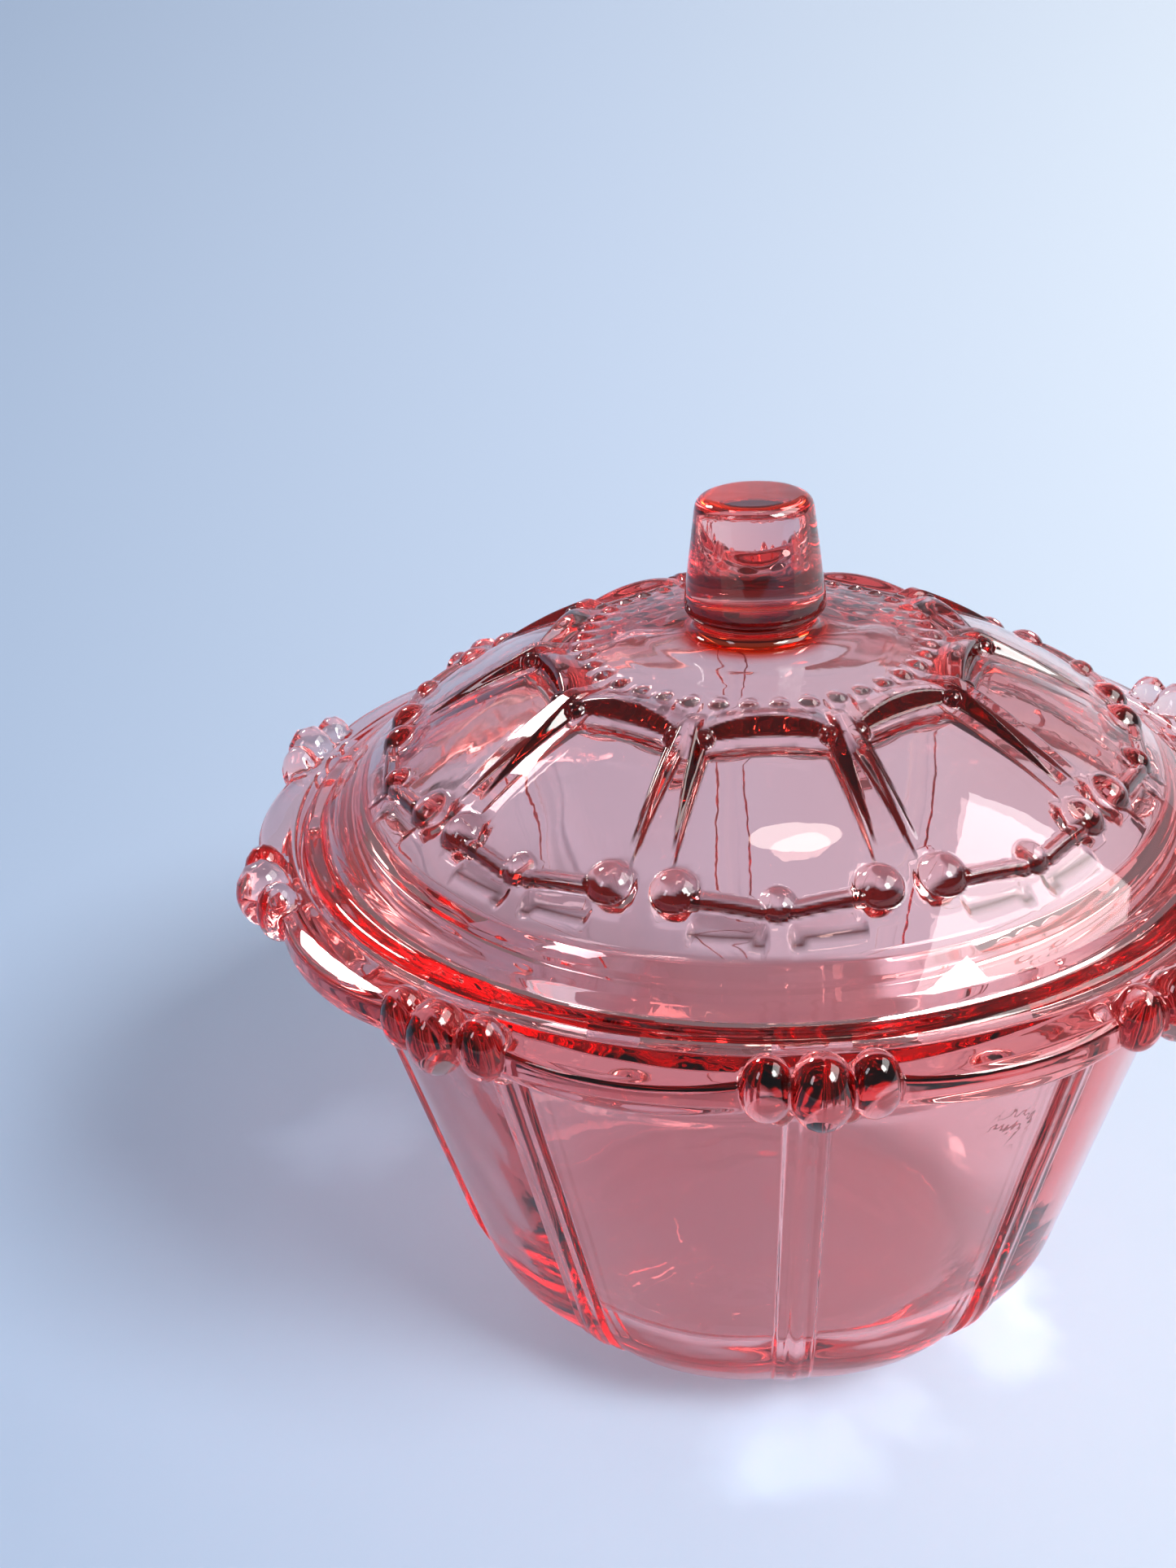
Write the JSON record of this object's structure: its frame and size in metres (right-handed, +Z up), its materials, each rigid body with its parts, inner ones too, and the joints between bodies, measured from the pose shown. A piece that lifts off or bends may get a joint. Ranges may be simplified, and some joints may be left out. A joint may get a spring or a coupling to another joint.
{
  "type": "covered candy dish",
  "caption": "Footed pressed-glass candy dish with straight ribs, a scalloped pearl-edged rim and a domed lid with a solid tapered knob.",
  "frame": {"origin": "centre of the foot, on the surface that the dish stands on", "axes": "+Z up along the axis of the bowl, lid and knob; a rib, a pearl cluster and the middle of a lid panel face -Y"},
  "size_m": [0.1432, 0.1494, 0.124],
  "materials": {
    "pink_glass": "gloss"
  },
  "bodies": {
    "bowl": {"bowl": "pink_glass"},
    "lid": {"lid": "pink_glass"}
  },
  "joints": [
    {"name": "lid_lift", "type": "slide", "parent": "bowl", "child": "lid", "axis": [0, 0, 1], "range_m": [0, 0.1]}
  ]
}
